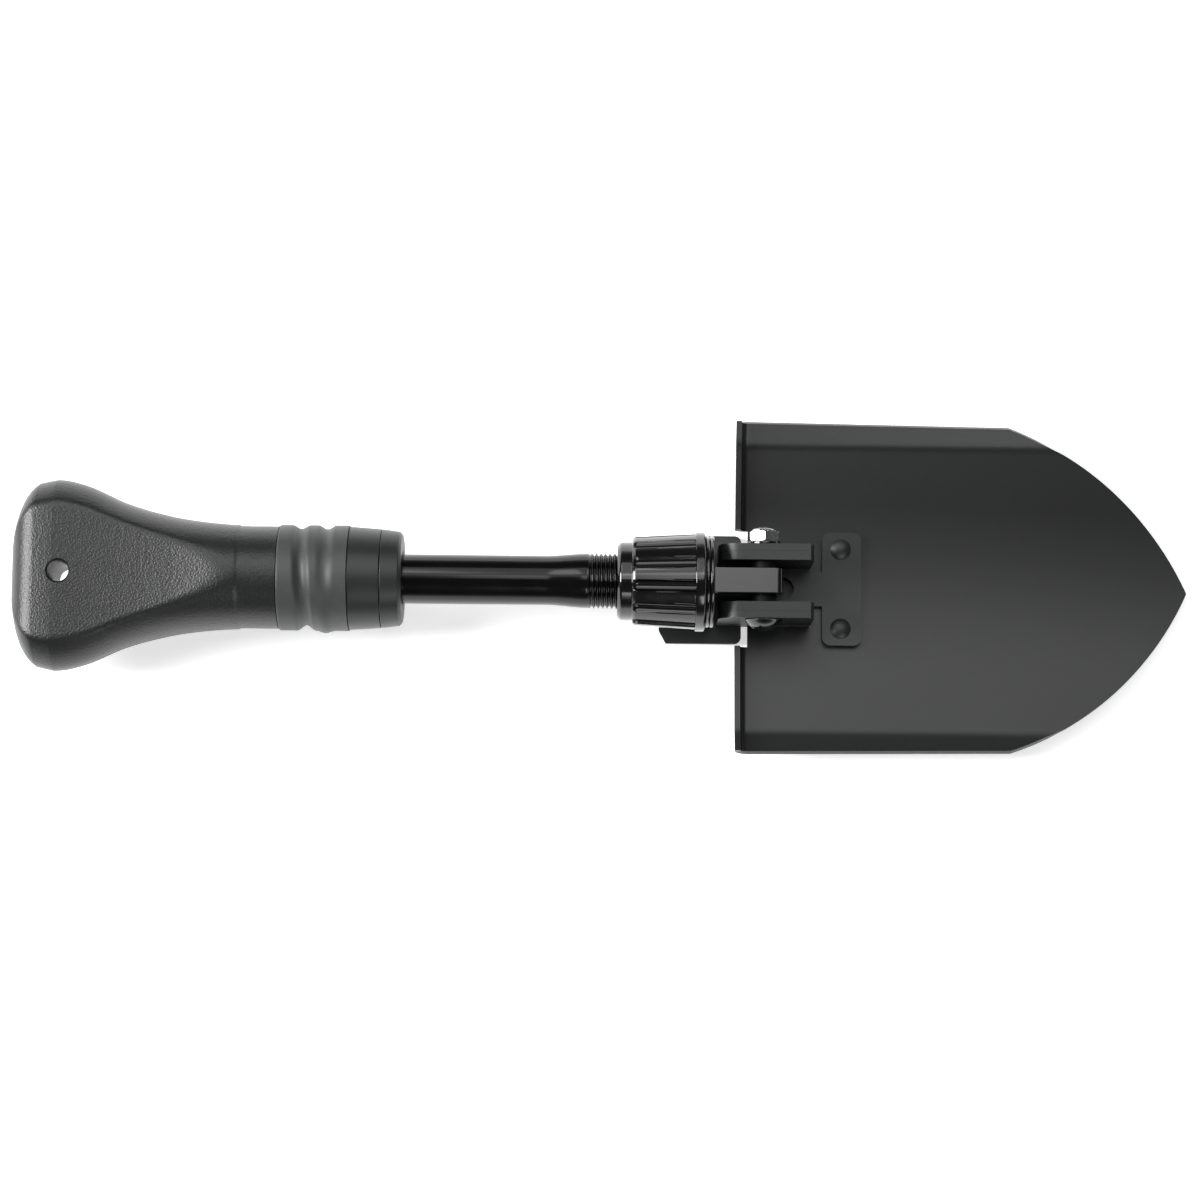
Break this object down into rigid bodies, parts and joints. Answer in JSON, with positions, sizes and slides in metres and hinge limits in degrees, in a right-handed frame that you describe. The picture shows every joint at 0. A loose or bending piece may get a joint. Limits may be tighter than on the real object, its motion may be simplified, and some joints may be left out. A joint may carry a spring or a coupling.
{
  "type": "folding camp shovel",
  "caption": "Folding, telescoping camp shovel with a pointed steel blade, screw-lock hinge, hammer plate and flared grip handle.",
  "frame": {"origin": "middle of the underside of the whole tool lying flat, hollow side of the blade up", "axes": "+X from the handle's butt to the blade's tip, +Z towards the hollow front of the blade, +Y across"},
  "size_m": [0.419, 0.12, 0.0452],
  "materials": {
    "moulded_nylon": "fine moulded grain",
    "collar_plastic": "satin",
    "grip_rubber": "smooth matte",
    "nylon_bearing": "satin",
    "gloss_black_steel": "gloss black paint",
    "gloss_black_alloy": "gloss black paint",
    "black_steel": "semi-gloss black",
    "powder_coated_blade": "satin powder coat",
    "coated_bracket": "satin powder coat",
    "zinc_steel": "bright zinc plate"
  },
  "bodies": {
    "handle": {"handle_front_shell": "moulded_nylon", "handle_rear_shell": "moulded_nylon", "handle_screws": "zinc_steel", "guide_sleeve": "nylon_bearing", "front_bush": "nylon_bearing", "collet": "nylon_bearing"},
    "twist_collar": {"twist_collar": "collar_plastic", "collar_cap": "collar_plastic", "rubber_grip": "grip_rubber"},
    "shaft": {"shaft_tube": "gloss_black_steel", "shaft_end_stop": "nylon_bearing", "hinge_yoke": "black_steel"},
    "thrust_washers": {"rear_washer": "gloss_black_steel", "front_washer": "gloss_black_steel"},
    "lock_nut": {"lock_nut": "gloss_black_alloy"},
    "blade": {"blade": "powder_coated_blade", "front_bracket": "coated_bracket", "rear_bracket": "coated_bracket", "bracket_rivets": "coated_bracket", "hinge_bolt": "black_steel", "hinge_nut": "zinc_steel", "hinge_washer": "black_steel", "hinge_spacers": "nylon_bearing"}
  },
  "joints": [
    {"name": "collar_twist", "type": "hinge", "parent": "handle", "child": "twist_collar", "pos_m": [-0.0717, 0, 0.02651], "axis": [1, 0, 0], "range_deg": [0, 90]},
    {"name": "shaft_slide", "type": "slide", "parent": "handle", "child": "shaft", "axis": [-1, 0, 0], "range_m": [0, 0.048]},
    {"name": "nut_travel", "type": "slide", "parent": "shaft", "child": "thrust_washers", "axis": [1, 0, 0], "range_m": [-0.0096, 0.0003]},
    {"name": "nut_spin", "type": "hinge", "parent": "thrust_washers", "child": "lock_nut", "pos_m": [0.0561, 0, 0.02651], "axis": [1, 0, 0], "range_deg": [-2160, 45]},
    {"name": "blade_fold", "type": "hinge", "parent": "shaft", "child": "blade", "pos_m": [0.0561, 0, 0.02651], "axis": [0, -1, 0], "range_deg": [0, 180]}
  ],
  "couplings": [
    {"joint": "nut_travel", "follows": "nut_spin", "m_per_rad": 0.00025266}
  ]
}
